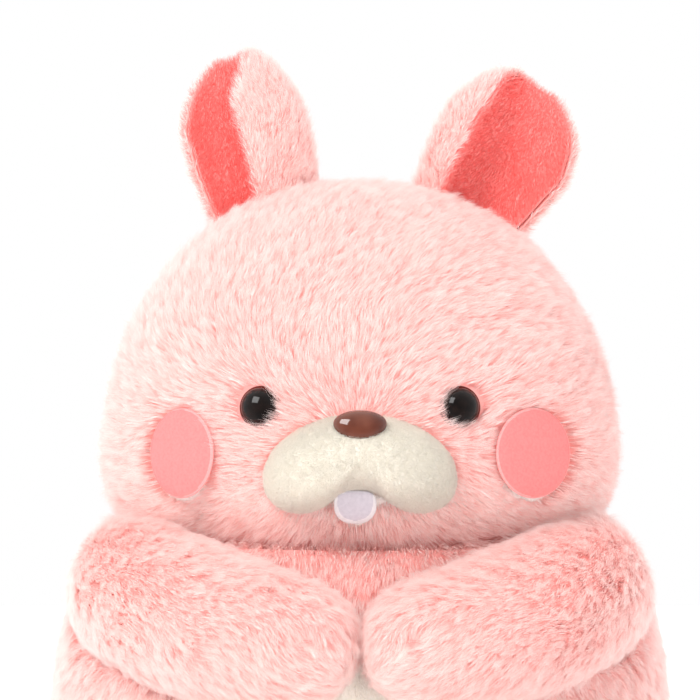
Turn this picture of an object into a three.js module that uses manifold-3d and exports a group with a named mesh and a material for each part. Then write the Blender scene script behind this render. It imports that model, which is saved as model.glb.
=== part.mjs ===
// A sitting plush rabbit, built from its sewn panels, stuffing and safety parts.
// Millimetres, +Z up, the face looks along -Y, the origin is under the middle of the toy on the floor.
// "left" and "right" are the rabbit's own: its left side is at +X.

import * as THREE from "three";
import { mergeVertices } from "three/addons/utils/BufferGeometryUtils.js";
import { ParametricGeometry } from "three/addons/geometries/ParametricGeometry.js";
import Module from "manifold-3d";

const wasm = await Module();
wasm.setup();

// ---------------------------------------------------------------- driving dimensions

const GAP = 0.4; // room between two pieces that touch
const COVER = 5; // backing cloth with its pile pressed flat
const SIDES = { left: 1, right: -1 };

// half: x, then y towards the face, y towards the back, z up and z down from the centre
const HEAD = {
  centre: new THREE.Vector3(0, 0, 195),
  half: { x: 110, front: 92, back: 84, up: 118, down: 45 },
  power: { up: 2.1, down: 3, plan: 2.2 },
  segments: [24, 12],
};
const TORSO = {
  centre: new THREE.Vector3(0, 0, 62),
  half: { x: 133, front: 94, back: 90, up: 164, down: 72 },
  power: { up: 2.4, down: 2.6, plan: 2.2 },
  segments: [24, 12],
};
const HEAD_SEAM_Y = 10; // the seam that runs from ear to ear over the head
const NECK = { y: 4, seamRadius: 38, seamZ: 149.6, thread: 0.6, nodDeg: 4.5, clear: 3.2 };
const BELLY = { z: 74, halfWidth: 76, halfHeight: 60 };
const ARM = {
  path: [[91, -38, 139], [76, -86, 127], [27, -103, 118]],
  radii: [32, 34, 26],
  segments: [14, 8],
};
const LEG = {
  path: [[60, -62, 34.5], [65, -82, 34.5], [70, -98, 34.5]],
  radii: [34, 34, 33],
  segments: [14, 8],
};
const ARM_OPEN_DEG = 20;
const LEG_LIFT_DEG = 15;
const TAIL = { centre: new THREE.Vector3(0, 103.9, 44), radius: 28, wagDeg: 10 };
// Each ear is a leaf of cloth wrapped round a flat oval, open towards the face: root and tip of its
// spine, half the oval's breadth and depth at four equal steps from root to tip, and how far the leaf
// wraps from the middle of its back wall, to its outer side and round to its inner side.
const EAR = {
  left: {
    root: [38, 20, 288],
    tip: [79, 27, 354],
    breadth: [17, 24, 28, 28],
    depth: [12, 14, 13, 10],
    wrapDeg: [-88, 142],
  },
  right: {
    root: [-38, 20, 288],
    tip: [-58.5, 27, 366.5],
    breadth: [17, 22.5, 24.5, 22],
    depth: [12, 13, 12, 9],
    wrapDeg: [82, -184],
  },
  roundFrom: 0.5, // the share of the spine where the round tip begins
  tipRadius: 4,
  outer: 4.2,
  inner: 3,
  segments: [8, 14],
  clear: 4.6,
};
const EYE = { x: 43, z: 218, radius: 9, dome: 6.5, shank: 2.2, shankLength: 17 };
const NOSE = { x: 0, z: 210, half: [11, 6.6], dome: 6, shank: 2.2, shankLength: 24 };
const WASHER = { radius: 8, thickness: 1.8, sink: 2.4 };
const MUZZLE = { z: 194, halfWidth: 40, lobe: 21, lobeX: 19, depth: 15 };
const CHEEK = { x: 73, z: 198, radius: 19, felt: 2 };
const TOOTH = { x: -2, z: 174, halfWidth: 8.8, height: 16, felt: 2.4 };
const PAW_STITCH = { length: 7, thread: 0.7 };

// ---------------------------------------------------------------- materials

const material = (colour, roughness, metalness = 0) =>
  new THREE.MeshStandardMaterial({ color: colour, roughness, metalness });
const PINK_FUR = material("#f6c3bd", 0.95);
const CORAL_PILE = material("#fb8680", 0.95);
const CORAL_FELT = material("#fd9f9b", 0.9);
const CREAM_PILE = material("#f3ecdf", 0.92);
const WHITE_FELT = material("#e3dad9", 0.9);
const FILLING = material("#fbfaf6", 1);
const BLACK_PLASTIC = material("#0c0909", 0.12);
const BROWN_PLASTIC = material("#5a2c1e", 0.15);
const WASHER_PLASTIC = material("#e9e6df", 0.5);
const THREAD = material("#e79f9a", 0.8);

// ---------------------------------------------------------------- solids

// A manifold solid from a three.js geometry, with its seams and poles merged and its faces pointing out.
function solidOf(geometry) {
  const bare = geometry.clone();
  bare.deleteAttribute("normal");
  bare.deleteAttribute("uv");
  const merged = mergeVertices(bare, 1e-3);
  const index = merged.index.array;
  const faces = [];
  for (let i = 0; i < index.length; i += 3) {
    const [a, b, c] = index.subarray(i, i + 3);
    if (a !== b && b !== c && c !== a) faces.push([a, b, c]);
  }
  const build = (triangles) =>
    new wasm.Manifold(
      new wasm.Mesh({
        numProp: 3,
        vertProperties: new Float32Array(merged.attributes.position.array),
        triVerts: new Uint32Array(triangles.flat()),
      }),
    );
  const made = build(faces);
  return made.volume() < 0 ? build(faces.map(([a, b, c]) => [a, c, b])) : made;
}

function geometryOf(solid) {
  const { numProp, numVert, vertProperties, triVerts } = solid.getMesh();
  const points = new Float32Array(numVert * 3);
  for (let i = 0; i < numVert; i++) {
    points.set(vertProperties.subarray(i * numProp, i * numProp + 3), i * 3);
  }
  const geometry = new THREE.BufferGeometry();
  geometry.setAttribute("position", new THREE.BufferAttribute(points, 3));
  geometry.setIndex(new THREE.BufferAttribute(new Uint32Array(triVerts), 1));
  geometry.computeVertexNormals();
  return geometry;
}

const placed = (solid, object) => {
  object.updateMatrixWorld(true);
  return solid.transform([...object.matrixWorld.elements]);
};

// The solid turned about an axis through a point, in degrees.
function turnedAbout(solid, point, axis, degrees) {
  const turn = new THREE.Matrix4().makeRotationAxis(axis, THREE.MathUtils.degToRad(degrees));
  const matrix = new THREE.Matrix4()
    .makeTranslation(point.x, point.y, point.z)
    .multiply(turn)
    .multiply(new THREE.Matrix4().makeTranslation(-point.x, -point.y, -point.z));
  return solid.transform([...matrix.elements]);
}

const box = (low, high) => {
  const size = high.map((h, i) => h - low[i]);
  const geometry = new THREE.BoxGeometry(...size);
  geometry.translate(...low.map((l, i) => l + size[i] / 2));
  return solidOf(geometry);
};

const sphere = (centre, radius, segments = [14, 10]) => {
  const geometry = new THREE.SphereGeometry(radius, ...segments);
  geometry.translate(centre.x, centre.y, centre.z);
  return solidOf(geometry);
};

const FAR = 400;
const above = (z) => box([-FAR, -FAR, z], [FAR, FAR, FAR]);
const below = (z) => box([-FAR, -FAR, -FAR], [FAR, FAR, z]);
const behind = (y) => box([-FAR, y, -FAR], [FAR, FAR, FAR]);
const before = (y) => box([-FAR, -FAR, -FAR], [FAR, y, FAR]);
const onSide = (side) =>
  side > 0
    ? box([GAP / 2, -FAR, -FAR], [FAR, FAR, FAR])
    : box([-FAR, -FAR, -FAR], [-GAP / 2, FAR, FAR]);

// ---------------------------------------------------------------- stuffed body shapes

const signedPower = (value, power) => Math.sign(value) * Math.abs(value) ** power;

// A rounded body between an ellipsoid and a box, grown all round by grow. rockDeg lowers its underside
// towards the front and the back, so that a body resting in it has room to nod by that much.
function egg({ centre, half, power, segments }, grow = 0, rockDeg = 0) {
  const slope = Math.tan(THREE.MathUtils.degToRad(rockDeg));
  const shape = (u, v, target) => {
    const latitude = (v - 0.5) * Math.PI;
    const longitude = u * 2 * Math.PI;
    const up = Math.sin(latitude) > 0;
    const bend = 2 / (up ? power.up : power.down);
    const ring = Math.abs(Math.cos(latitude)) ** bend;
    const across = signedPower(Math.cos(longitude), 2 / power.plan);
    const along = signedPower(Math.sin(longitude), 2 / power.plan);
    const deep = (along < 0 ? half.front : half.back) + grow;
    target.x = (half.x + grow) * ring * across;
    target.y = deep * ring * along;
    const height = (up ? half.up : half.down) + grow;
    target.z = height * signedPower(Math.sin(latitude), bend);
    if (!up) target.z -= slope * Math.abs(target.y);
    target.add(centre);
  };
  return solidOf(new ParametricGeometry(shape, ...segments));
}

const insideOf = (size, depth) => egg(size, -depth);

// The y of a body's front face at x and z.
function frontOf({ centre, half, power }, x, z) {
  const up = z > centre.z;
  const share = Math.abs(z - centre.z) / (up ? half.up : half.down);
  const bend = up ? power.up : power.down;
  const ring = (1 - share ** bend) ** (1 / bend);
  const across = Math.abs(x) / (half.x * ring);
  return -half.front * ring * (1 - across ** power.plan) ** (1 / power.plan);
}

// An Object3D on the head's face at x and z, with its +Z pointing straight out of the face.
function onFace(x, z, lift = 0) {
  const STEP = 1;
  const at = (dx, dz) => new THREE.Vector3(x + dx, frontOf(HEAD, x + dx, z + dz), z + dz);
  const across = at(STEP, 0).sub(at(-STEP, 0));
  const upwards = at(0, STEP).sub(at(0, -STEP));
  const out = across.cross(upwards).normalize();
  const place = new THREE.Object3D();
  place.up.set(0, 0, 1);
  place.position.copy(at(0, 0)).addScaledVector(out, lift);
  place.lookAt(place.position.clone().add(out));
  return place;
}

// A stuffed limb: a curved tube of changing radius with round ends, grown all round by grow.
function limb({ path, radii, segments }, side, grow = 0) {
  const curve = new THREE.QuadraticBezierCurve3(
    ...path.map(([x, y, z]) => new THREE.Vector3(x * side, y, z)),
  );
  const radiusAt = (t) => {
    const [a, b, c] = radii;
    return (1 - t) ** 2 * a + 2 * t * (1 - t) * b + t ** 2 * c + grow;
  };
  const CAP = 0.3; // the share of the surface's length that each round end takes
  const up = new THREE.Vector3(0, 0, 1);
  const shape = (u, v, target) => {
    const tube = THREE.MathUtils.clamp((v - CAP) / (1 - 2 * CAP), 0, 1);
    const cap = v < CAP ? v / CAP - 1 : v > 1 - CAP ? (v - 1) / CAP + 1 : 0;
    const radius = radiusAt(tube);
    const forward = curve.getTangent(tube);
    const sideways = new THREE.Vector3().crossVectors(forward, up).normalize();
    const upwards = new THREE.Vector3().crossVectors(sideways, forward);
    const angle = u * 2 * Math.PI;
    const ring = radius * Math.cos((cap * Math.PI) / 2);
    curve.getPoint(tube, target);
    target.addScaledVector(forward, radius * Math.sin((cap * Math.PI) / 2));
    target.addScaledVector(sideways, ring * Math.cos(angle));
    target.addScaledVector(upwards, ring * Math.sin(angle));
  };
  return solidOf(new ParametricGeometry(shape, ...segments));
}

// ---------------------------------------------------------------- ears

// Where a point of an ear is: its share of the way up the spine, across the leaf from -1 on its outer
// side to 1 on its inner side, and how far out it is from the leaf's middle layer.
function earShape({ root, tip, breadth, depth, wrapDeg }) {
  const foot = new THREE.Vector3(...root);
  const spine = new THREE.Vector3(...tip).sub(foot);
  const length = spine.length();
  const up = spine.clone().normalize();
  const opening = new THREE.Vector3(0, -1, 0);
  opening.addScaledVector(up, -opening.dot(up)).normalize();
  const across = new THREE.Vector3().crossVectors(opening, up);
  const [from, to] = wrapDeg.map(THREE.MathUtils.degToRad);
  const half = (steps, s) => {
    const place = Math.min(s, 0.999) * (steps.length - 1);
    const i = Math.floor(place);
    const size = THREE.MathUtils.lerp(steps[i], steps[i + 1], place - i);
    const rounding = Math.max((s - EAR.roundFrom) / (1 - EAR.roundFrom), 0);
    return EAR.tipRadius + (size - EAR.tipRadius) * Math.sqrt(1 - rounding ** 2);
  };
  return (s, t, out) => {
    const angle = THREE.MathUtils.lerp(from, to, (t + 1) / 2);
    const deep = half(depth, s);
    return foot
      .clone()
      .addScaledVector(up, s * length)
      .addScaledVector(opening, deep - (deep + out) * Math.cos(angle))
      .addScaledVector(across, (half(breadth, s) + out) * Math.sin(angle));
  };
}

// A closed leaf of cloth between two distances from the ear's middle layer.
function earLeaf(at, low, high) {
  const [along, over] = EAR.segments;
  const points = [];
  const faces = [];
  for (const out of [low, high]) {
    for (let i = 0; i <= along; i++) {
      for (let j = 0; j <= over; j++) {
        points.push(...at(i / along, (j / over) * 2 - 1, out).toArray());
      }
    }
  }
  const layer = (along + 1) * (over + 1);
  const id = (side, i, j) => side * layer + i * (over + 1) + j;
  const quad = (a, b, c, d) => faces.push(a, b, c, a, c, d);
  for (let i = 0; i < along; i++) {
    for (let j = 0; j < over; j++) {
      quad(id(0, i, j), id(0, i, j + 1), id(0, i + 1, j + 1), id(0, i + 1, j));
      quad(id(1, i, j), id(1, i + 1, j), id(1, i + 1, j + 1), id(1, i, j + 1));
    }
    quad(id(0, i, 0), id(0, i + 1, 0), id(1, i + 1, 0), id(1, i, 0));
    quad(id(0, i, over), id(1, i, over), id(1, i + 1, over), id(0, i + 1, over));
  }
  for (let j = 0; j < over; j++) {
    quad(id(0, 0, j), id(1, 0, j), id(1, 0, j + 1), id(0, 0, j + 1));
    quad(id(0, along, j), id(0, along, j + 1), id(1, along, j + 1), id(1, along, j));
  }
  const geometry = new THREE.BufferGeometry();
  geometry.setAttribute("position", new THREE.BufferAttribute(new Float32Array(points), 3));
  geometry.setIndex(faces);
  return solidOf(geometry);
}

// ---------------------------------------------------------------- plastic and felt parts

const lathe = (profile, segments = 14) =>
  new THREE.LatheGeometry(profile.map(([r, z]) => new THREE.Vector2(r, z)), segments).rotateX(Math.PI / 2);

// A domed safety eye or nose: its dome points along +Z and its ridged shank along -Z.
function buttonWithShank({ radius, dome, shank, shankLength }) {
  const DOME_STEPS = 4;
  const RIDGES = 2;
  const rim = 1.6;
  const profile = [[0, -shankLength], [shank - 0.6, -shankLength]];
  for (let i = 0; i < RIDGES; i++) {
    const z = -shankLength + 2.5 + i * 2.4;
    profile.push([shank, z], [shank - 0.5, z + 1.2]);
  }
  profile.push([shank, -rim], [radius - 0.5, -rim]);
  for (let i = 0; i < DOME_STEPS; i++) {
    const angle = (i / DOME_STEPS) * (Math.PI / 2);
    profile.push([radius * Math.cos(angle), dome * Math.sin(angle)]);
  }
  profile.push([0, dome]);
  return solidOf(lathe(profile));
}

// The hole that a safety eye or nose needs, a gap larger all round.
function buttonRoom({ radius, dome, shank, shankLength }, gap = GAP) {
  const rim = 1.6;
  const profile = [
    [0, -shankLength - gap],
    [shank + gap, -shankLength - gap],
    [shank + gap, -rim - gap],
    [radius + gap * 2, -rim - gap],
    [radius + gap * 2, dome + gap],
    [0, dome + gap],
  ];
  return solidOf(lathe(profile));
}

const washerRing = () => {
  const { radius, thickness } = WASHER;
  const hole = EYE.shank + GAP;
  const half = thickness / 2;
  const profile = [[hole, -half], [radius, -half], [radius, half], [hole, half], [hole, -half]];
  return solidOf(lathe(profile));
};

// A round post along +-Z, for cutting pockets.
const post = (radius, low, high, segments = 14) =>
  solidOf(lathe([[0, low], [radius, low], [radius, high], [0, high]], segments));

// The muzzle's outline: two round lobes joined under a broad low arch, seen from the front.
function muzzleOutline(shrink = 0) {
  const { halfWidth, lobe, lobeX } = MUZZLE;
  const w = halfWidth - shrink;
  const top = lobe - 1 - shrink;
  const low = -lobe + shrink;
  const notchX = lobeX * 0.45;
  const notchZ = -lobe * 0.55 + shrink;
  const shape = new THREE.Shape();
  shape.moveTo(0, top);
  shape.bezierCurveTo(w * 0.45, top, w, lobe * 0.45, w, -lobe * 0.32);
  shape.bezierCurveTo(w, low, lobeX * 0.95, low - 3, notchX, notchZ);
  shape.quadraticCurveTo(0, -lobe * 0.36 + shrink, -notchX, notchZ);
  shape.bezierCurveTo(-lobeX * 0.95, low - 3, -w, low, -w, -lobe * 0.32);
  shape.bezierCurveTo(-w, lobe * 0.45, -w * 0.45, top, 0, top);
  return shape;
}

// An outline in x and z pushed through the face along y, from deep inside the head to the given y.
function prismAlongY(outline, z, fromY, toY, curveSegments = 6) {
  const geometry = new THREE.ExtrudeGeometry(outline, {
    depth: Math.abs(toY - fromY),
    bevelEnabled: false,
    curveSegments,
  });
  geometry.rotateX(Math.PI / 2).translate(0, Math.max(fromY, toY), z);
  return solidOf(geometry);
}

// ---------------------------------------------------------------- the toy

const toy = new THREE.Group();
const bodies = {};
function body(name) {
  bodies[name] = new THREE.Group();
  toy.add(bodies[name]);
  return (nodeName, solid, look) => {
    const mesh = new THREE.Mesh(geometryOf(solid), look);
    mesh.name = nodeName;
    bodies[name].add(mesh);
  };
}

const headOuter = egg(HEAD);
const headRoom = (grow) => egg(HEAD, NECK.clear + grow, NECK.nodDeg);

function buildHead() {
  const add = body("head");
  let cover = headOuter.subtract(insideOf(HEAD, COVER));
  let filling = insideOf(HEAD, COVER + GAP);

  const button = (name, size, place, look, washerDepth) => {
    const solid = placed(buttonWithShank(size), place);
    const room = placed(buttonRoom(size), place);
    const pocket = post(WASHER.radius + 1, -size.shankLength - 2, -washerDepth + 3);
    cover = cover.subtract(room);
    filling = filling.subtract(room).subtract(placed(pocket, place));
    const washer = washerRing().translate([0, 0, -washerDepth]);
    add(name, solid, look);
    add(`${name}_washer`, placed(washer, place), WASHER_PLASTIC);
  };

  for (const [label, side] of Object.entries(SIDES)) {
    const place = onFace(EYE.x * side, EYE.z, -3);
    button(`eye_${label}`, EYE, place, BLACK_PLASTIC, COVER + WASHER.sink);
  }

  // The padded muzzle and what sits on it.
  const frontY = frontOf(HEAD, 0, MUZZLE.z);
  const skin = egg(HEAD, GAP);
  const bulge = new THREE.SphereGeometry(1, 20, 14);
  bulge.scale(MUZZLE.halfWidth + 9, MUZZLE.depth + 26, MUZZLE.lobe + 13);
  bulge.translate(0, frontY + 26, MUZZLE.z + 1);
  const dome = solidOf(bulge);
  const muzzle = prismAlongY(muzzleOutline(), MUZZLE.z, frontY - 40, frontY + 60)
    .intersect(dome)
    .subtract(skin);
  const padShape = dome.transform([0.93, 0, 0, 0, 0, 1, 0, 0, 0, 0, 0.93, 0, 0, 3, MUZZLE.z * 0.07, 1]);
  const pad = prismAlongY(muzzleOutline(4), MUZZLE.z, frontY - 40, frontY + 60)
    .intersect(padShape)
    .subtract(skin);
  const padRoom = prismAlongY(muzzleOutline(4 - GAP), MUZZLE.z, frontY - 40, frontY + 60)
    .intersect(padShape.translate([0, -GAP, 0]));

  const nosePlace = new THREE.Object3D();
  nosePlace.position.set(NOSE.x, frontY - MUZZLE.depth + 6.5, NOSE.z);
  nosePlace.rotation.set(Math.PI / 2 - 0.42, 0, 0);
  nosePlace.scale.set(NOSE.half[0] / 10, NOSE.half[1] / 10, 1);
  const noseSize = { ...NOSE, radius: 10 };
  const noseSolid = placed(buttonWithShank(noseSize), nosePlace);
  const noseRoom = placed(buttonRoom(noseSize, GAP * 1.6), nosePlace);
  const washerPlace = nosePlace.clone();
  washerPlace.scale.set(1, 1, 1);
  const washerDepth = 18;
  const noseWasher = placed(washerRing().translate([0, 0, -washerDepth]), washerPlace);
  const nosePocket = post(WASHER.radius + 1, -NOSE.shankLength - 2, -washerDepth + 3);
  cover = cover.subtract(noseRoom);
  filling = filling.subtract(placed(nosePocket, washerPlace)).subtract(noseRoom);
  cover = cover.subtract(placed(post(WASHER.radius + GAP, -washerDepth - 2, -washerDepth + 2), washerPlace));
  add("nose", noseSolid, BROWN_PLASTIC);
  add("nose_washer", noseWasher, WASHER_PLASTIC);
  add("muzzle_cover", muzzle.subtract(padRoom).subtract(noseRoom), CREAM_PILE);
  add("muzzle_padding", pad.subtract(noseRoom), FILLING);

  // The felt tooth hangs out below the notch between the muzzle's lobes.
  const toothShape = new THREE.Shape();
  const { halfWidth, height } = TOOTH;
  toothShape.moveTo(-halfWidth, 0);
  toothShape.lineTo(-halfWidth, -height * 0.45);
  toothShape.bezierCurveTo(-halfWidth, -height, halfWidth, -height, halfWidth, -height * 0.45);
  toothShape.lineTo(halfWidth, 0);
  toothShape.closePath();
  const toothPrism = prismAlongY(toothShape, TOOTH.z + height / 2, -HEAD.half.front - 20, -40)
    .translate([TOOTH.x, 0, 0]);
  const tooth = toothPrism
    .intersect(egg(HEAD, GAP * 2 + TOOTH.felt).subtract(egg(HEAD, GAP)))
    .subtract(muzzle.translate([0, 0, -GAP]))
    .subtract(muzzle);
  add("tooth", largest(tooth), WHITE_FELT);

  for (const [label, side] of Object.entries(SIDES)) {
    const place = onFace(CHEEK.x * side, CHEEK.z);
    const disc = placed(post(CHEEK.radius, -12, 12, 24), place);
    const felt = egg(HEAD, GAP + CHEEK.felt).subtract(egg(HEAD, GAP));
    add(`cheek_${label}`, largest(disc.intersect(felt)), CORAL_FELT);
  }

  add("head_face_panel", cover.intersect(before(HEAD_SEAM_Y - GAP / 2)), PINK_FUR);
  for (const [label, side] of Object.entries(SIDES)) {
    const half = cover.intersect(behind(HEAD_SEAM_Y + GAP / 2)).intersect(onSide(side));
    add(`head_back_${label}_panel`, half, PINK_FUR);
  }
  add("head_stuffing", filling, FILLING);
}

// The largest of a solid's separate bodies, so that a cut leaves no crumbs.
function largest(solid) {
  return solid.decompose().sort((a, b) => b.volume() - a.volume())[0];
}

function buildEars() {
  for (const label of Object.keys(SIDES)) {
    const add = body(`ear_${label}`);
    const at = earShape(EAR[label]);
    const away = egg(HEAD, EAR.clear);
    add(`ear_${label}_outer_panel`, largest(earLeaf(at, GAP, EAR.outer).subtract(away)), PINK_FUR);
    add(`ear_${label}_lining`, largest(earLeaf(at, -EAR.inner, 0).subtract(away)), CORAL_PILE);
  }
}

function limbPieces(name, label, size, options) {
  const side = SIDES[label];
  const add = body(`${name}_${label}`);
  const { trim, split } = options;
  const cover = trim(limb(size, side).subtract(limb(size, side, -COVER)));
  const filling = trim(limb(size, side, -COVER - GAP));
  for (const [part, zone] of Object.entries(split)) {
    const look = part === "sole" ? CREAM_PILE : PINK_FUR;
    add(`${name}_${label}_${part}`, largest(cover.intersect(zone)), look);
  }
  add(`${name}_${label}_stuffing`, largest(filling), FILLING);
}

const torsoOuter = egg(TORSO);

const CLEAR = 0.8; // running gap between a limb and the torso
const SHOULDER_ROOM = ARM.radii[0] + 4;
const pointOf = ([x, y, z], side) => new THREE.Vector3(x * side, y, z);
const startOf = ({ path }, side) => pointOf(path[0], side);
const endOf = ({ path }, side) => pointOf(path[2], side);

function buildArms() {
  for (const [label, side] of Object.entries(SIDES)) {
    const shoulder = startOf(ARM, side);
    const socket = sphere(shoulder, SHOULDER_ROOM - CLEAR);
    const chest = egg(TORSO, CLEAR).subtract(socket);
    const passing = [0, -ARM_OPEN_DEG * side].map((degrees) =>
      turnedAbout(headRoom(0), shoulder, new THREE.Vector3(0, 0, 1), degrees),
    );
    const chin = wasm.Manifold.hull(passing);
    const trim = (solid) => solid.subtract(chest).subtract(chin).intersect(onSide(side));
    const middleZ = (ARM.path[0][2] + ARM.path[2][2]) / 2;
    const split = {
      upper_panel: above(middleZ + GAP / 2),
      lower_panel: below(middleZ - GAP / 2),
    };
    limbPieces("arm", label, ARM, { trim, split });
    const [x, y, z] = ARM.path[2];
    const stitch = new THREE.CapsuleGeometry(PAW_STITCH.thread, PAW_STITCH.length, 3, 8);
    stitch.rotateZ(side * 1.1).translate((x - 4) * side, y - ARM.radii[2] - 0.6, z + 2);
    const mesh = new THREE.Mesh(stitch, THREAD);
    mesh.name = `paw_stitch_${label}`;
    bodies[`arm_${label}`].add(mesh);
  }
}

function buildLegs() {
  for (const [label, side] of Object.entries(SIDES)) {
    const soleY = LEG.path[2][1] - LEG.radii[2] * 0.62;
    const middleZ = LEG.path[2][2];
    const trim = (solid) => solid.intersect(above(0));
    const split = {
      sole: before(soleY - GAP / 2),
      upper_panel: above(middleZ + GAP / 2).intersect(behind(soleY + GAP / 2)),
      lower_panel: below(middleZ - GAP / 2).intersect(behind(soleY + GAP / 2)),
    };
    limbPieces("leg", label, LEG, { trim, split });
  }
}

function buildTail() {
  const add = body("tail");
  const { centre, radius } = TAIL;
  add("tail_cover", sphere(centre, radius).subtract(sphere(centre, radius - COVER)).subtract(
    post(3, 0, radius * 2, 10).rotate([90, 0, 0]).translate([centre.x, centre.y, centre.z]),
  ), CREAM_PILE);
  add("tail_stuffing", sphere(centre, radius - COVER - GAP), FILLING);
}

// What the arms, legs and tail sweep through where they meet the torso, grown all round by grow.
function roomForLimbs(grow) {
  const xAxis = new THREE.Vector3(1, 0, 0);
  const zAxis = new THREE.Vector3(0, 0, 1);
  const ROUNDING = 1.3; // what the flats of a coarse sphere take off its radius
  const SOCKET_SLACK = 0.7; // keeps the shoulder clear of its socket's flats as it turns
  const rooms = [];
  for (const side of Object.values(SIDES)) {
    const hip = startOf(LEG, side);
    const thigh = LEG.radii[0] + ROUNDING + grow;
    const foot = sphere(endOf(LEG, side), thigh, [12, 8]);
    const lifted = turnedAbout(foot, hip, xAxis, -LEG_LIFT_DEG);
    rooms.push(wasm.Manifold.hull([sphere(hip, thigh, [12, 8]), foot, lifted]));
    rooms.push(sphere(startOf(ARM, side), SHOULDER_ROOM - CLEAR + SOCKET_SLACK + grow));
  }
  const root = new THREE.Vector3(0, TORSO.half.back, TAIL.centre.z);
  const tail = sphere(TAIL.centre, TAIL.radius + ROUNDING + grow, [12, 8]);
  const wagged = [-TAIL.wagDeg, TAIL.wagDeg].map((degrees) => turnedAbout(tail, root, zAxis, degrees));
  rooms.push(wasm.Manifold.hull(wagged));
  return wasm.Manifold.union(rooms);
}

function buildTorso() {
  const add = body("torso");
  const fitted = (solid) => solid.subtract(headRoom(0)).intersect(above(0));
  const hollow = insideOf(TORSO, COVER)
    .intersect(above(COVER))
    .subtract(headRoom(COVER))
    .subtract(roomForLimbs(CLEAR + COVER));
  const cover = fitted(torsoOuter).subtract(hollow).subtract(roomForLimbs(CLEAR));
  const filling = insideOf(TORSO, COVER + GAP)
    .intersect(above(COVER + GAP))
    .subtract(headRoom(COVER + GAP))
    .subtract(roomForLimbs(CLEAR + COVER + GAP));

  const oval = new THREE.Shape();
  oval.absellipse(0, 0, BELLY.halfWidth, BELLY.halfHeight, 0, 2 * Math.PI);
  const ovalRoom = new THREE.Shape();
  ovalRoom.absellipse(0, 0, BELLY.halfWidth + GAP, BELLY.halfHeight + GAP, 0, 2 * Math.PI);
  const bellyPrism = prismAlongY(oval, BELLY.z, -FAR / 2, -20, 8);
  const bellyRoom = prismAlongY(ovalRoom, BELLY.z, -FAR / 2, -20, 8);
  const upperCover = cover.intersect(above(COVER + GAP / 2));
  const deep = insideOf(TORSO, COVER);
  add("belly_panel", largest(upperCover.intersect(bellyPrism).subtract(deep)), CREAM_PILE);
  for (const [label, side] of Object.entries(SIDES)) {
    const bellyCut = bellyRoom.subtract(insideOf(TORSO, COVER + GAP));
    const half = upperCover.subtract(bellyCut).intersect(onSide(side));
    add(`torso_${label}_panel`, largest(half), PINK_FUR);
  }
  add("base_panel", largest(cover.intersect(below(COVER - GAP / 2))), PINK_FUR);
  add("torso_stuffing", largest(filling), FILLING);
}

function buildNeck() {
  const add = body("neck");
  const ring = new THREE.TorusGeometry(NECK.seamRadius, NECK.thread, 5, 24);
  ring.translate(0, NECK.y, NECK.seamZ);
  add("neck_ladder_stitch", solidOf(ring), THREAD);
}

buildHead();
buildEars();
buildNeck();
buildArms();
buildLegs();
buildTail();
buildTorso();

export default toy;
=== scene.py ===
import math

import bmesh
import bpy
import numpy as np
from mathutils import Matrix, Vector


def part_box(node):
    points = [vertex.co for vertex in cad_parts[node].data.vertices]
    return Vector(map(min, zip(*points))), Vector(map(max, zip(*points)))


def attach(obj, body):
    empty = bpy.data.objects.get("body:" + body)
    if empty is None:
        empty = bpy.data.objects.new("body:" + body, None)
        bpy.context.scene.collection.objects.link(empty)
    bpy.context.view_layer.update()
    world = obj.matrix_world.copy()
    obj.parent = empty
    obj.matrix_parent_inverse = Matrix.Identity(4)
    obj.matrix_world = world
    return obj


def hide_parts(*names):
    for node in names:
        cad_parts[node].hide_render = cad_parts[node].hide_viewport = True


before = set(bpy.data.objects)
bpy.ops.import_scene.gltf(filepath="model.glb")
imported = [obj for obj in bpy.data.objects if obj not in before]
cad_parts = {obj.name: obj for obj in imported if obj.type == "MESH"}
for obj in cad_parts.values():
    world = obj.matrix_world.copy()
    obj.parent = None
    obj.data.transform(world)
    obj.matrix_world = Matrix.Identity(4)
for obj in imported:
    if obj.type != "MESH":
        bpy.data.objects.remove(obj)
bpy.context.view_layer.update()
scene = bpy.context.scene

MM = 0.001
SIDES = {"left": 1, "right": -1}
rng = np.random.default_rng(11)

# ---- driving dimensions, millimetres

HEAD = dict(centre=(0, 0, 195), x=110, front=92, back=84, up=118, down=45, power=(2.1, 3.0, 2.2))
TORSO = dict(centre=(0, 0, 62), x=133, front=94, back=90, up=164, down=72, power=(2.4, 2.6, 2.2))
ARM = dict(path=((91, -38, 139), (76, -86, 127), (27, -103, 118)), radii=(32, 34, 26))
LEG = dict(path=((60, -62, 34.5), (65, -82, 34.5), (70, -98, 34.5)), radii=(34, 34, 33))
TAIL = dict(centre=(0, 103.9, 44), radius=28)
SHOULDER_SOCKET = 36.7
PAW_STITCH = (23, -129, 120)  # where the thread pulls the left paw in, towards the next point
PAW_MIDDLE = (30, -100, 119)
PAW_TIP = (14, -108, 112)  # where an arm's pile is combed to
HEAD_SEAM_Y = 10
EARS = {
    "left": dict(root=(38, 20, 288), tip=(79, 27, 354), breadth=(17, 24, 28, 28),
                 depth=(12, 14, 13, 10), wrap=(-88, 142)),
    "right": dict(root=(-38, 20, 288), tip=(-58.5, 27, 366.5), breadth=(17, 22.5, 24.5, 22),
                  depth=(12, 13, 12, 9), wrap=(82, -184)),
}
EAR_ROUND_FROM = 0.5
EAR_TIP_RADIUS = 4
EYE = dict(x=43, z=218, radius=9)
MUZZLE = dict(z=194, half_width=40, lobe=21, lobe_x=19, depth=15)
CHEEKS = {"left": dict(x=73, z=198, half=(19, 19)), "right": dict(x=-75, z=198, half=(16.5, 19))}
CHEEK_SLANT = 0.86  # how wide a cheek looks from the front, as a share of its own width
TOOTH = dict(x=-2, z=176.6, half_width=9.0, above=6.0, below=8.2, thick=2.6)
BELLY = dict(z=68, half_width=74, half_height=54)
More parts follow.
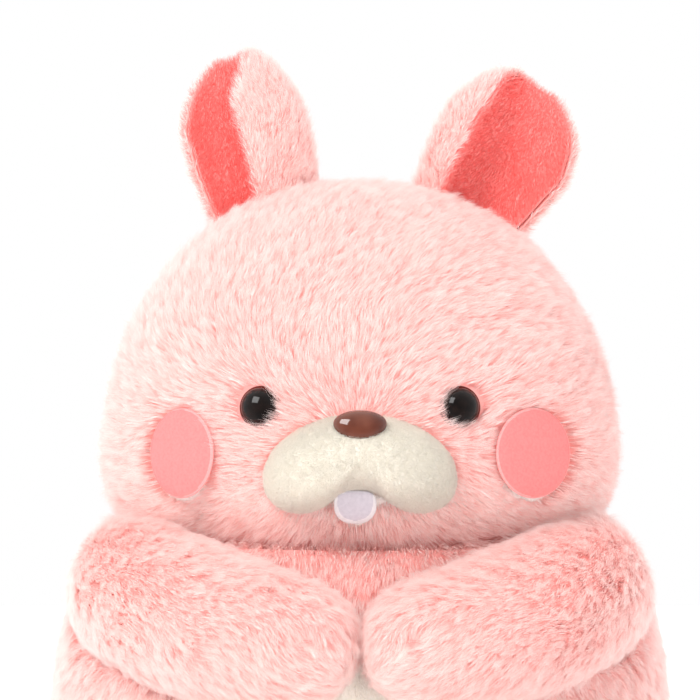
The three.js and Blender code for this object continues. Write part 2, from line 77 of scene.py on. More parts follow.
SINK = 4.2  # how far the backing cloth lies inside the pressed pile's outer face
RUN = 3.2  # room that the head's bowl leaves round the head


# ---- materials

def srgb(r, g, b):
    """A linear colour from 0 to 255 display values."""
    c = np.array([r, g, b]) / 255
    linear = np.where(c <= 0.04045, c / 12.92, ((c + 0.055) / 1.055) ** 2.4)
    return (*linear.tolist(), 1.0)


def principled(name, colour, roughness=0.8, **sockets):
    mat = bpy.data.materials.new(name)
    mat.use_nodes = True
    shader = mat.node_tree.nodes["Principled BSDF"]
    shader.inputs["Base Color"].default_value = colour
    shader.inputs["Roughness"].default_value = roughness
    for key, value in sockets.items():
        shader.inputs[key.replace("_", " ")].default_value = value
    return mat


def ramp_node(tree, start, low, end, high):
    ramp = tree.nodes.new("ShaderNodeValToRGB")
    first, last = ramp.color_ramp.elements
    first.position, first.color = start, low
    last.position, last.color = end, high
    return ramp


def patterned(name, low, high, scale, roughness=0.85, bump=0.3, depth=0.0004, **sockets):
    """A Principled material whose colour runs from low to high over a fine noise, with a finer bump."""
    mat = principled(name, high, roughness, **sockets)
    tree = mat.node_tree
    new, link = tree.nodes.new, tree.links.new
    shader = tree.nodes["Principled BSDF"]
    place = new("ShaderNodeTexCoord")
    noise = new("ShaderNodeTexNoise")
    noise.inputs["Scale"].default_value = scale
    ramp = ramp_node(tree, 0.3, low, 0.7, high)
    fine = new("ShaderNodeTexNoise")
    fine.inputs["Scale"].default_value = scale * 6
    fine.inputs["Detail"].default_value = 4
    raise_it = new("ShaderNodeBump")
    raise_it.inputs["Strength"].default_value = bump
    raise_it.inputs["Distance"].default_value = depth
    link(place.outputs["Object"], noise.inputs["Vector"])
    link(place.outputs["Object"], fine.inputs["Vector"])
    link(noise.outputs[0], ramp.inputs[0])
    link(ramp.outputs[0], shader.inputs["Base Color"])
    link(fine.outputs[0], raise_it.inputs["Height"])
    link(raise_it.outputs[0], shader.inputs["Normal"])
    return mat


def fibre_material(name, root, tip, through=0.6):
    """Fine fibres, deeper in colour at the root than at the tip, that let light through. The deeper root is
    painted shade and the paler tip is painted light, in place of shadows that most fibres don't cast.
    """
    mat = bpy.data.materials.new(name)
    mat.use_nodes = True
    tree = mat.node_tree
    tree.nodes.clear()
    new, link = tree.nodes.new, tree.links.new
    info = new("ShaderNodeHairInfo")
    # painted shade and light: the ramp runs from a deeper root to a paler tip
    ramp = ramp_node(tree, 0.2, root, 0.8, tip)
    spread = new("ShaderNodeHueSaturation")
    vary = new("ShaderNodeMapRange")
    vary.inputs["To Min"].default_value = 0.97
    vary.inputs["To Max"].default_value = 1.0
    face, back = new("ShaderNodeBsdfDiffuse"), new("ShaderNodeBsdfTranslucent")
    mix, out = new("ShaderNodeMixShader"), new("ShaderNodeOutputMaterial")
    mix.inputs[0].default_value = through
    link(info.outputs["Intercept"], ramp.inputs[0])
    link(info.outputs["Random"], vary.inputs[0])
    link(vary.outputs[0], spread.inputs["Value"])
    link(ramp.outputs[0], spread.inputs["Color"])
    link(spread.outputs[0], face.inputs[0])
    link(spread.outputs[0], back.inputs[0])
    link(face.outputs[0], mix.inputs[1])
    link(back.outputs[0], mix.inputs[2])
    link(mix.outputs[0], out.inputs[0])
    return mat


def tones(name, *colours, painted_glow=0.06):
    """Plain tones of one pile, from deep to light. The painted glow is emission: painted light that stands
    for light coming through and lifts the pile where it lies in shade.
    """
    return [
        principled(f"{name}_{i}", colour, 0.9, Specular_IOR_Level=0.1, Emission_Color=colour,
                   Emission_Strength=painted_glow)
        for i, colour in enumerate(colours)
    ]


# the pile tones below glow by emission, which is painted light that lifts them where they lie in shade
PINK_CLOTH = patterned("pink_backing_cloth", srgb(252, 178, 172), srgb(254, 192, 186), 180, depth=0.0006)
PINK_TONES = tones("pink_pile", srgb(253, 213, 208), srgb(254, 222, 217), srgb(255, 230, 226))
PINK_FIBRE = fibre_material("pink_fibre", srgb(253, 205, 200), srgb(255, 247, 244))
CORAL_CLOTH = patterned("coral_backing_cloth", srgb(252, 138, 133), srgb(254, 150, 145), 260, depth=0.0006)
# painted light: the coral tones' strong glow brightens the shaded inside of the ears
CORAL_TONES = tones("coral_pile", srgb(253, 156, 151), srgb(254, 165, 160), srgb(255, 175, 170), painted_glow=0.2)
CORAL_FIBRE = fibre_material("coral_fibre", srgb(253, 156, 151), srgb(255, 184, 179))
CREAM_CLOTH = patterned("cream_backing_cloth", srgb(238, 233, 224), srgb(243, 239, 231), 260, depth=0.0006)
CREAM_TONES = tones("cream_pile", srgb(233, 229, 221), srgb(235, 231, 224), srgb(237, 234, 227), painted_glow=0.04)
CREAM_FIBRE = fibre_material("cream_fibre", srgb(234, 230, 222), srgb(238, 235, 228))
# painted light: a lighter copy of the cream for the parts that lie in shade (tail, belly, soles and base),
# while the lit muzzle keeps the darker cream
PAINTED_LIGHT_CREAM_CLOTH = patterned("painted_light_cream_backing_cloth", srgb(244, 238, 228), srgb(250, 246, 238), 260, depth=0.0006)
PAINTED_LIGHT_CREAM_TONES = tones("painted_light_cream_pile", srgb(246, 241, 232), srgb(250, 246, 239), srgb(253, 250, 245))
PAINTED_LIGHT_CREAM_FIBRE = fibre_material("painted_light_cream_fibre", srgb(247, 242, 234), srgb(254, 252, 248))
FELT = dict(bump=0.5, depth=0.0003)
CHEEK_FELT = patterned("coral_felt", srgb(248, 128, 127), srgb(252, 138, 136), 900, **FELT)
CHEEK_RIM = patterned("coral_felt_edge", srgb(252, 152, 150), srgb(254, 166, 163), 900, **FELT)
TOOTH_FELT = patterned("white_felt", srgb(190, 183, 192), srgb(200, 193, 201), 700, **FELT)
TOOTH_RIM = patterned("white_felt_edge", srgb(214, 208, 211), srgb(222, 216, 218), 700, **FELT)
GLOSS = dict(roughness=0.04, bump=0.02, depth=0.0001)
EYE_BLACK = patterned("eye_black", (0.004, 0.003, 0.003, 1), (0.012, 0.007, 0.006, 1), 300,
                      Specular_IOR_Level=0.3, **GLOSS)
EYE_RIM = patterned("eye_rim", (0.08, 0.012, 0.008, 1), (0.13, 0.022, 0.015, 1), 300,
                    Specular_IOR_Level=0.3, **GLOSS)
NOSE_BROWN = patterned("nose_brown", srgb(74, 26, 12), srgb(112, 60, 44), 90,
                       Specular_IOR_Level=0.8, **GLOSS)
FILLING = patterned("loose_filling", srgb(238, 236, 230), srgb(255, 254, 250), 120, bump=0.8, depth=0.002)
WASHER = patterned("washer_plastic", srgb(224, 221, 212), srgb(236, 233, 226), 200, 0.45, bump=0.1)
THREAD = patterned("pink_thread", srgb(222, 140, 134), srgb(240, 170, 164), 900, 0.7, depth=0.0002)

# each kind of pile: the tones of its ribbons, the material of its fibres and its slot
PINK = (PINK_TONES, PINK_FIBRE, "pink_fur")
CORAL = (CORAL_TONES, CORAL_FIBRE, "coral_pile")
CREAM = (CREAM_TONES, CREAM_FIBRE, "cream_pile")
PAINTED_LIGHT_CREAM = (PAINTED_LIGHT_CREAM_TONES, PAINTED_LIGHT_CREAM_FIBRE, "cream_pile")


# ---- surfaces as arrays in millimetres

def unit(a):
    return a / np.maximum(np.linalg.norm(a, axis=-1, keepdims=True), 1e-9)


def signed_power(v, p):
    return np.sign(v) * np.abs(v) ** p


def egg(size, u, v, grow=0.0):
    """Points of a stuffed body between an ellipsoid and a box, at shares u round it and v up it."""
    longitude, latitude = u * 2 * math.pi, (v - 0.5) * math.pi
    up = latitude > 0
    p_up, p_down, plan = size["power"]
    bend = np.where(up, 2 / p_up, 2 / p_down)
    ring = np.abs(np.cos(latitude)) ** bend
    across = signed_power(np.cos(longitude), 2 / plan)
    along = signed_power(np.sin(longitude), 2 / plan)
    deep = np.where(along < 0, size["front"], size["back"]) + grow
    height = np.where(up, size["up"], size["down"]) + grow
    flat = np.stack([(size["x"] + grow) * ring * across, deep * ring * along], -1)
    z = height * signed_power(np.sin(latitude), bend)
    return np.concatenate([flat, z[:, None]], 1) + np.array(size["centre"])


def in_egg(size, p, grow=0.0):
    """True where points are inside a stuffed body."""
    d = p - np.array(size["centre"])
    p_up, p_down, plan = size["power"]
    up = d[:, 2] > 0
    power = np.where(up, p_up, p_down)
    deep = np.where(d[:, 1] < 0, size["front"], size["back"]) + grow
    height = np.where(up, size["up"], size["down"]) + grow
    flat = np.abs(d[:, 0] / (size["x"] + grow)) ** plan + np.abs(d[:, 1] / deep) ** plan
    return flat ** (power / plan) + np.abs(d[:, 2] / height) ** power < 1


def front_y(size, x, z, grow=0.0):
    """The y of a stuffed body's front at x and z."""
    p_up, p_down, plan = size["power"]
    dz = z - size["centre"][2]
    power = np.where(dz > 0, p_up, p_down)
    height = np.where(dz > 0, size["up"], size["down"]) + grow
    ring = np.maximum(1 - np.abs(dz / height) ** power, 0) ** (1 / power)
    across = np.minimum(np.abs(x) / ((size["x"] + grow) * np.maximum(ring, 1e-6)), 1)
    return -(size["front"] + grow) * ring * (1 - across ** plan) ** (1 / plan)


def face_point(x, z):
    """The point of the head's front at one x and z."""
    return np.array([x, float(front_y(HEAD, np.array([x]), np.array([z]))[0]), z])


def face_frame(x, z):
    """The outward, rightward and upward directions of the head's face at x and z."""
    step = 1.0
    at = lambda dx, dz: face_point(x + dx, z + dz)
    right = unit(at(step, 0) - at(-step, 0))
    out = unit(np.cross(right, at(0, step) - at(0, -step)))
    return out, right, np.cross(out, right)


def along_limb(size, side, shares):
    """The middle point, radius and forward direction of a limb at shares of its length."""
    a, b, c = (np.array(p, float) * (side, 1, 1) for p in size["path"])
    ra, rb, rc = size["radii"]
    radius = (1 - shares) ** 2 * ra + 2 * shares * (1 - shares) * rb + shares ** 2 * rc
    t = shares[:, None]
    middle = (1 - t) ** 2 * a + 2 * t * (1 - t) * b + t ** 2 * c
    return middle, radius, unit(2 * (1 - t) * (b - a) + 2 * t * (c - b))


def in_limb(size, side, p, grow=0.0):
    middle, radius, _ = along_limb(size, side, np.linspace(0, 1, 16))
    inside = np.zeros(len(p), bool)
    for m, r in zip(middle, radius):
        inside |= ((p - m) ** 2).sum(1) < (r + grow) ** 2
    return inside


def limb(size, side, grow):
    """The surface of a curved tube of changing radius with round ends."""
    cap = 0.3
    up = np.array([0.0, 0, 1])

    def shape(u, v):
        tube = np.clip((v - cap) / (1 - 2 * cap), 0, 1)
        end = np.where(v < cap, v / cap - 1, np.where(v > 1 - cap, (v - 1) / cap + 1, 0)) * math.pi / 2
        middle, radius, forward = along_limb(size, side, tube)
        radius = radius + grow
        sideways = unit(np.cross(forward, up))
        upward = np.cross(sideways, forward)
        ring = (radius * np.cos(end))[:, None]
        angle = (u * 2 * math.pi)[:, None]
        return (middle + forward * (radius * np.sin(end))[:, None]
                + ring * (sideways * np.cos(angle) + upward * np.sin(angle)))

    return shape


def ball(centre, radius):
    def shape(u, v):
        lat, lon = (v - 0.5) * math.pi, u * 2 * math.pi
        return np.array(centre) + radius * np.stack(
            [np.cos(lat) * np.cos(lon), np.cos(lat) * np.sin(lon), np.sin(lat)], -1)
    return shape


def circle(turns):
    """Angles evenly round a circle."""
    return np.arange(turns) / turns * 2 * math.pi


def ring_faces(rows, turns):
    """The faces between stacked rings of points."""
    corners = [(r * turns + i, r * turns + (i + 1) % turns) for r in range(rows - 1) for i in range(turns)]
    return [(a, b, b + turns, a + turns) for a, b in corners]


def box_of(node):
    """The low and high corners of a node's box, in millimetres."""
    return (np.array(corner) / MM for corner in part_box(node))


# ---- meshes

def added(name, data):
    obj = bpy.data.objects.new(name, data)
    scene.collection.objects.link(obj)
    return obj


def object_of(name, points, faces, *materials, smooth=True):
    """A mesh object from points in millimetres, with doubled points merged and its faces turned outward."""
    mesh = bpy.data.meshes.new(name)
    mesh.from_pydata((np.asarray(points) * MM).tolist(), [], [list(map(int, f)) for f in faces])
    work = bmesh.new()
    work.from_mesh(mesh)
    bmesh.ops.remove_doubles(work, verts=work.verts, dist=1e-6)
    bmesh.ops.dissolve_degenerate(work, edges=work.edges, dist=1e-7)
    bmesh.ops.recalc_face_normals(work, faces=work.faces)
    for face in work.faces:
        face.smooth = smooth
    work.to_mesh(mesh)
    work.free()
    for mat in materials:
        mesh.materials.append(mat)
    return added(name, mesh)


def grid(name, shape, nu, nv, *materials):
    """A closed surface over u round it and v from pole to pole."""
    u, v = np.meshgrid(np.arange(nu) / nu, np.linspace(0, 1, nv), indexing="ij")
    points = shape(u.ravel(), v.ravel())
    i, j = np.meshgrid(np.arange(nu), np.arange(nv - 1), indexing="ij")
    a, b = (i * nv + j).ravel(), ((i + 1) % nu * nv + j).ravel()
    return object_of(name, points, np.stack([a, b, b + 1, a + 1], -1), *materials)


def egg_grid(name, size, grow, *materials, turns=96):
    """A stuffed body as a mesh, for a skin or a cutter."""
    return grid(name, lambda u, v: egg(size, u, v, grow), turns, turns // 2, *materials)


def settle(obj):
    """Turns an object's modifiers into its mesh."""
    graph = bpy.context.evaluated_depsgraph_get()
    graph.update()
    mesh = bpy.data.meshes.new_from_object(obj.evaluated_get(graph), depsgraph=graph)
    obj.modifiers.clear()
    old, obj.data = obj.data, mesh
    if not mesh.materials:
        for mat in old.materials:
            mesh.materials.append(mat)
    bpy.data.meshes.remove(old)
    for face in obj.data.polygons:
        face.use_smooth = True


def cut(obj, *cutters):
    """Takes the cutters away from an object, and removes the cutters."""
    for cutter in cutters:
        mod = obj.modifiers.new("cut", "BOOLEAN")
        mod.operation, mod.solver, mod.object = "DIFFERENCE", "EXACT", cutter
    settle(obj)
    for cutter in cutters:
        bpy.data.objects.remove(cutter)


def remesh(obj, voxel, smoothing=4):
    mod = obj.modifiers.new("remesh", "REMESH")
    mod.mode, mod.voxel_size = "VOXEL", voxel * MM
    mod = obj.modifiers.new("smooth", "SMOOTH")
    mod.factor, mod.iterations = 0.5, smoothing
    settle(obj)


def points_of(obj):
    points = np.empty(len(obj.data.vertices) * 3, np.float32)
    obj.data.vertices.foreach_get("co", points)
    return points.reshape(-1, 3).astype(float) / MM


def normals_of(obj):
    normals = np.empty(len(obj.data.vertices) * 3, np.float32)
    obj.data.vertices.foreach_get("normal", normals)
    return normals.reshape(-1, 3)


def move_points(obj, points):
    obj.data.vertices.foreach_set("co", (points * MM).astype(np.float32).ravel())
    obj.data.update()


SWELL_FRAMES = 16
SEAM_REACH = 3.0  # how far a seam holds the cloth down on either side
THIN_CLOTH = dict(use_pressure=True, uniform_pressure_force=6, mass=0.0005, tension_stiffness=0.05,
                  compression_stiffness=0.05, shear_stiffness=0.03, bending_stiffness=0.002,
                  vertex_group_mass="seams")


def stuff(obj, seam_distance, swell, held=None):
    """Swells a cloth skin with cloth simulation between its seams, which stay where they are."""
    before = points_of(obj)
    near = seam_distance(before)
    pinned = np.exp(-(near / SEAM_REACH) ** 2)
    if held is not None:
        pinned = np.maximum(pinned, held(before))
    group = obj.vertex_groups.new(name="seams")
    for i in np.nonzero(pinned > 0.3)[0]:
        group.add([int(i)], float(pinned[i]), "REPLACE")
    cloth = obj.modifiers.new("swell", "CLOTH")
    for key, value in THIN_CLOTH.items():
        setattr(cloth.settings, key, value)
    cloth.settings.effector_weights.gravity = 0
    cloth.point_cache.frame_start = 1
    cloth.point_cache.frame_end = SWELL_FRAMES
    for step in range(1, SWELL_FRAMES + 1):
        scene.frame_set(step)
    settle(obj)
    scene.frame_set(1)
    obj.vertex_groups.clear()
    move = points_of(obj) - before
    far = np.linalg.norm(move, axis=1, keepdims=True)
    move_points(obj, before + move * np.minimum(1, swell / np.maximum(far, 1e-6)))


# ---- pile

WAVES = [(rng.normal(size=3), rng.random() * 6.28) for _ in range(24)]


def wander(points, scale, seed=0):
    """Smooth noise from about -1 to 1 over points, with features about scale millimetres across."""
    total = np.zeros(len(points))
    for k in range(6):
        direction, phase = WAVES[(seed * 6 + k) % len(WAVES)]
        total += np.sin(points @ unit(direction) * (6.28 / scale) * (0.7 + 0.25 * k) + phase + seed)
    return total / 3.2


def sample(obj, per_mm2, keep=None):
    """Random points on a mesh object, spread by area, with their smooth normals."""
    mesh = obj.data
    mesh.calc_loop_triangles()
    tris = np.empty(len(mesh.loop_triangles) * 3, np.int32)
    mesh.loop_triangles.foreach_get("vertices", tris)
    tris = tris.reshape(-1, 3)
    points, normals = points_of(obj), normals_of(obj)
    corner = points[tris]
    area = np.linalg.norm(np.cross(corner[:, 1] - corner[:, 0], corner[:, 2] - corner[:, 0]), axis=1) / 2
    count = int(area.sum() * per_mm2)
    pick = rng.choice(len(tris), count, p=area / area.sum())
    a, b = rng.random(count), rng.random(count)
    over = a + b > 1
    a[over], b[over] = 1 - a[over], 1 - b[over]
    weight = np.stack([1 - a - b, a, b], 1)[:, :, None]
    spots = (corner[pick] * weight).sum(1)
    normal = unit((normals[tris[pick]] * weight).sum(1))
    if keep is not None:
        kept = keep(spots, normal)
        spots, normal = spots[kept], normal[kept]
    return spots, normal


def lay_pile(spots, normal, comb, length, lift, clump, gather, stray, turn, sway):
    """The root, middle and tip of each lock of pile. Locks of one small clump lean to one tip."""
    n = len(spots)
    lean = comb(spots, normal)
    lean = unit(lean - (lean * normal).sum(1, keepdims=True) * normal)
    side = np.cross(normal, lean)
    jitter = np.stack([wander(spots, clump * 2.6, k) for k in (0, 1, 2)], -1)
    cell = np.floor((spots + 1000) / clump + 0.35 * jitter)
    _, which = np.unique((cell[:, 0] * 4001 + cell[:, 1]) * 4001 + cell[:, 2], return_inverse=True)
    size = np.bincount(which)
    clumps = len(size)
    mean = lambda a: np.stack([np.bincount(which, a[:, k]) for k in range(3)], -1) / size[:, None]
    angle = rng.normal(0, turn, clumps)[which] + rng.normal(0, stray, n) + sway * wander(spots, 52, 3)
    heading = unit(lean * np.cos(angle)[:, None] + side * np.sin(angle)[:, None])
    vary = rng.normal(0, 0.16, clumps)[which] + rng.normal(0, 0.12, n) + 0.16 * wander(spots, 17, 1)
    rise = np.clip(lift * (1 + vary), 0.08, 1.45)
    long = np.asarray(length) * (1 + rng.normal(0, 0.09, clumps)[which]) * rng.uniform(0.72, 1.1, n)
    ahead = lambda tilt: normal * np.sin(tilt)[:, None] + heading * np.cos(tilt)[:, None]
    middle = spots + ahead(np.minimum(rise + 0.45, 1.5)) * (long * 0.5)[:, None]
    tip = middle + ahead(np.maximum(rise - 0.35, -0.1)) * (long * 0.5)[:, None]
    tip += (mean(tip)[which] - tip) * (gather * rng.uniform(0.6, 1.1, n))[:, None]
    middle += (mean(middle)[which] - middle) * (gather * 0.35)
    return dict(root=spots, middle=middle, tip=tip, normal=normal, clump=which, clumps=clumps)


def ribbons(name, laid, shades, shares, width):
    """A mesh of two-quad ribbons along the laid locks, in several plain shades. The root quad of each
    ribbon takes the next deeper tone: painted shade at the roots.
    """
    root, middle, tip, normal = (laid[k] for k in ("root", "middle", "tip", "normal"))
    n = len(root)
    along = unit(tip - root)
    flat = unit(np.cross(along, normal))
    twist = rng.normal(0, 0.4, n)[:, None]
    across = unit(flat * np.cos(twist) + np.cross(along, flat) * np.sin(twist))
    half = width * rng.uniform(0.7, 1.25, n)[:, None] / 2
    rows = []
    for spot, factor in ((root - normal * 0.4, 1.0), (middle, 0.85), (tip, 0.12)):
        rows += [spot - across * half * factor, spot + across * half * factor]
    points = np.stack(rows, 1).reshape(-1, 3) * MM
    first = np.arange(n)[:, None] * 6
    quads = np.stack([first + [0, 1, 3, 2], first + [2, 3, 5, 4]], 1)
    mesh = bpy.data.meshes.new(name)
    mesh.vertices.add(len(points))
    mesh.vertices.foreach_set("co", points.ravel().astype(np.float32))
    mesh.loops.add(quads.size)
    mesh.loops.foreach_set("vertex_index", quads.ravel().astype(np.int32))
    mesh.polygons.add(n * 2)
    mesh.polygons.foreach_set("loop_start", np.arange(0, quads.size, 4, dtype=np.int32))
    mesh.polygons.foreach_set("use_smooth", np.ones(n * 2, bool))
    clump_shade = rng.choice(len(shades), laid["clumps"], p=shares)[laid["clump"]]
    shade = np.where(rng.random(n) < 0.5, clump_shade, rng.choice(len(shades), n, p=shares))
    # painted shade: the root quad is one tone deeper than the tip quad
    lower = np.maximum(shade - 1, 0)
    for mat in shades:
        mesh.materials.append(mat)
    mesh.polygons.foreach_set("material_index", np.stack([lower, shade], 1).ravel().astype(np.int32))
    mesh.update()
    mesh.validate()
    mesh.normals_split_custom_set_from_vertices(np.repeat(normal, 6, 0))
    return added(name, mesh)


def fibres(name, laid, mat, radius, which, casts):
    """Single fine fibres of one slice of the laid locks, as hair curves of four points."""
    root, middle, tip = (laid[k][which][:, None] for k in ("root", "middle", "tip"))
    n = len(root)
    curves = bpy.data.hair_curves.new(name)
    curves.add_curves([4] * n)
    t = np.array([0, 0.4, 0.75, 1.0])[None, :, None]
    control = middle * 2 - (root + tip) / 2
    points = (1 - t) ** 2 * root + 2 * t * (1 - t) * control + t ** 2 * tip
    curves.points.foreach_set("position", (points * MM).reshape(-1).astype(np.float32))
    taper = np.array([1, 0.9, 0.6, 0.15])
    curves.points.foreach_set("radius", np.tile(taper * radius * MM, n).astype(np.float32))
    curves.materials.append(mat)
    obj = added(name, curves)
    obj.visible_shadow = casts
    return obj


LONG = dict(fine=3.6, coarse=0.6, width=0.42, radius=0.045, lift=0.7, clump=3.0, gather=0.26, turn=0.13,
            stray=0.13, sway=0.3)
SHORT = dict(fine=6.0, coarse=1.2, width=0.4, radius=0.05, lift=1.0, clump=1.6, gather=0.1)
UNDERCOAT = 0.72  # how long the ribbons are, as a share of the fibres
SHADING_SHARE = 0.25  # the share of fibres that cast shadows: light passes through the rest


def dress(piece, body, slot, *nodes, fill=None):
    """Attaches a piece to the body it moves with, and hides the frame's parts that it stands for."""
    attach(piece, body)
    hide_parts(*nodes)


def grow_pile(name, skin, body, kind, parts, comb, length, keep=None, **style):
    """Covers a skin with pile: ribbons as one piece or more, and finer fibres between them.
    parts is the node that a single piece stands for, or a node and a test of roots for each piece's name.
    length is a number or a function of the roots."""
    shades, fibre, slot = kind
    style = {**LONG, **style}
    how = {k: style[k] for k in style if k in ("lift", "clump", "gather", "stray", "turn", "sway")}
    size_at = length if callable(length) else (lambda p: np.full(len(p), float(length)))
    if isinstance(parts, str):
        parts = {name: (parts, lambda p: np.ones(len(p), bool))}
    spots, normal = sample(skin, style["coarse"], keep)
    for part, (node, chosen) in parts.items():
        mine = chosen(spots)
        laid = lay_pile(spots[mine], normal[mine], comb, size_at(spots[mine]) * UNDERCOAT, **how)
        dress(ribbons(part, laid, shades, (0.3, 0.4, 0.3), style["width"]), body, slot, node)
    spots, normal = sample(skin, style["fine"], keep)
    laid = lay_pile(spots, normal, comb, size_at(spots), **how)
    dense = int(len(spots) * SHADING_SHARE)
    for label, which, casts in (("under", slice(None, dense), True), ("over", slice(dense, None), False)):
        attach(fibres(f"{name}_{label}_fibres", laid, fibre, style["radius"], which, casts), body)


def one_way(direction):
    """A comb that lays all pile in one direction."""
    return lambda p, normal: np.tile(direction, (len(p), 1))


# ---- head

def eye_dent(p):
    """How deep the stuffing is pulled in round the eyes, at points of the head."""
    pull = np.zeros(len(p))
    for side in SIDES.values():
        far = np.hypot(p[:, 0] - EYE["x"] * side, p[:, 2] - EYE["z"])
        pull += 2.2 * np.exp(-(far / 11) ** 2) * (p[:, 1] < 0)
    return pull


def head_seams(p):
    """How far points are from the seam over the head and the seam down its back."""
    over = np.abs(p[:, 1] - HEAD_SEAM_Y)
    down = np.where(p[:, 1] > HEAD_SEAM_Y, np.abs(p[:, 0]), 99)
    return np.minimum(over, down)


def head_comb(p, normal):
    """Away from the nose, and up to the rabbit's left over the forehead."""
    away = unit(p - np.array([0, -86, 202]))
    high = np.clip((p[:, 2] - 205) / 60, 0, 1)[:, None] * (p[:, 1:2] < 40)
    down_back = np.clip(p[:, 1:2] / 40, 0, 1)
    return away * 0.9 + high * np.array([0.85, 0, 0.1]) + down_back * np.array([0, 0, -1.3])


def on_face(p, x, z, half_x, half_z):
    """Where points of the head's front are, from 0 in the middle of an oval to 1 at its rim and beyond."""
    return np.where(p[:, 1] < 0, np.hypot((p[:, 0] - x) / half_x, (p[:, 2] - z) / half_z), 9)


def head_furred(p, normal):
    """True where the head has pile: not under the eyes, cheeks, muzzle or tooth, nor inside an ear."""
    keep = np.ones(len(p), bool)
    for side in SIDES.values():
        keep &= on_face(p, EYE["x"] * side, EYE["z"], 8.5, 8.5) > 1
    for cheek in CHEEKS.values():
        half_x, half_z = cheek["half"][0] * CHEEK_SLANT, cheek["half"][1]
        inner_x = cheek["x"] - math.copysign(2.6, cheek["x"])
        keep &= on_face(p, inner_x, cheek["z"], half_x + 1.0, half_z) > 1
    keep &= on_face(p, 0, MUZZLE["z"] + 1, 37, 17) > 1
    keep &= on_face(p, TOOTH["x"], TOOTH["z"], 7, 7) > 1
    keep &= ~in_egg(TORSO, p, -9)
    return keep


def build_head():
    skin = egg_grid("head_skin", HEAD, -SINK - 1.0, PINK_CLOTH, turns=120)
    remesh(skin, 3.2, 2)
    stuff(skin, head_seams, 2.4)
    points = points_of(skin)
    inward = unit(np.array(HEAD["centre"]) - points)
    move_points(skin, points + inward * eye_dent(points)[:, None])
    nodes = ("head_face_panel", "head_back_left_panel", "head_back_right_panel")
    dress(skin, "head", PINK[2], *nodes, fill=0.9)
    parts = {
        "head_face_pile": (nodes[0], lambda p: p[:, 1] < HEAD_SEAM_Y),
        "head_back_left_pile": (nodes[1], lambda p: (p[:, 1] >= HEAD_SEAM_Y) & (p[:, 0] >= 0)),
        "head_back_right_pile": (nodes[2], lambda p: (p[:, 1] >= HEAD_SEAM_Y) & (p[:, 0] < 0)),
    }
    length = lambda p: 9.4 + 3.5 * np.clip((176 - p[:, 2]) / 18, 0, 1)
    grow_pile("head_pile", skin, "head", PINK, parts, head_comb, length, head_furred)


def build_eye(label, side):
    """A domed safety eye with a thin rim, set into the pile."""
    x, z = EYE["x"] * side, EYE["z"]
    out, right, up = face_frame(x, z)
    centre = face_point(x, z) - out * 3
    radius, dome, rim = EYE["radius"], 6.5, 1.0
    profile = [(radius - 1.2, -2.6), (radius - 0.3, -2.2), (radius, -1.6), (radius, -0.4),
               (radius - 0.25, 0.1), (radius - rim, 0.35)]
    for i in range(1, 15):
        angle = i / 15 * math.pi / 2
        profile.append(((radius - rim) * math.cos(angle), 0.35 + (dome - 0.35) * math.sin(angle)))
    turns = 64
    angle = circle(turns)
    ring = np.cos(angle)[:, None] * right + np.sin(angle)[:, None] * up
    rings = [centre + ring * r + out * h for r, h in profile]
    points = np.concatenate(rings + [[centre + out * dome], [centre - out * 2.6]])
    faces = ring_faces(len(profile), turns)
    top, base = len(profile) * turns, len(profile) * turns + 1
    last = (len(profile) - 1) * turns
    faces += [(last + i, last + (i + 1) % turns, top) for i in range(turns)]
    faces += [((i + 1) % turns, i, base) for i in range(turns)]
    eye = object_of(f"eye_{label}_dome", points, faces, EYE_BLACK, EYE_RIM)
    for face in eye.data.polygons:
        middle = np.array(face.center) / MM - centre
        sideways = math.hypot(float(middle @ right), float(middle @ up))
        face.material_index = int(sideways > radius - rim * 0.9)
    dress(eye, "head", "eye_black", f"eye_{label}")


def muzzle_outline(turns=96):
    """The muzzle's outline in x and z from its middle: two round lobes under a low arch."""
    w, lobe, lx = MUZZLE["half_width"], MUZZLE["lobe"], MUZZLE["lobe_x"]
    top = lobe - 1
    right = [
        ((0, top), (w * 0.45, top), (w, lobe * 0.45), (w, -lobe * 0.32)),
        ((w, -lobe * 0.32), (w, -lobe * 1.02), (lx * 1.1, -lobe - 3.4), (lx * 0.56, -lobe * 0.66)),
        ((lx * 0.56, -lobe * 0.66), (lx * 0.4, -lobe * 0.55), (lx * 0.2, -lobe * 0.53), (0, -lobe * 0.53)),
    ]
    curve = []
    for p0, p1, p2, p3 in right:
        t = np.linspace(0, 1, 40, endpoint=False)[:, None]
        p0, p1, p2, p3 = map(np.array, (p0, p1, p2, p3))
        curve.append((1 - t) ** 3 * p0 + 3 * t * (1 - t) ** 2 * p1 + 3 * t * t * (1 - t) * p2 + t ** 3 * p3)
    half = np.concatenate(curve)
    both = np.concatenate([half, half[1:][::-1] * (-1, 1)])
    gaps = np.linalg.norm(np.roll(both, -1, 0) - both, axis=1)
    at = np.concatenate([[0], np.cumsum(gaps)])
    closed = np.concatenate([both, both[:1]])
    even = np.arange(turns) / turns * at[-1]
    return np.stack([np.interp(even, at, closed[:, k]) for k in (0, 1)], 1)


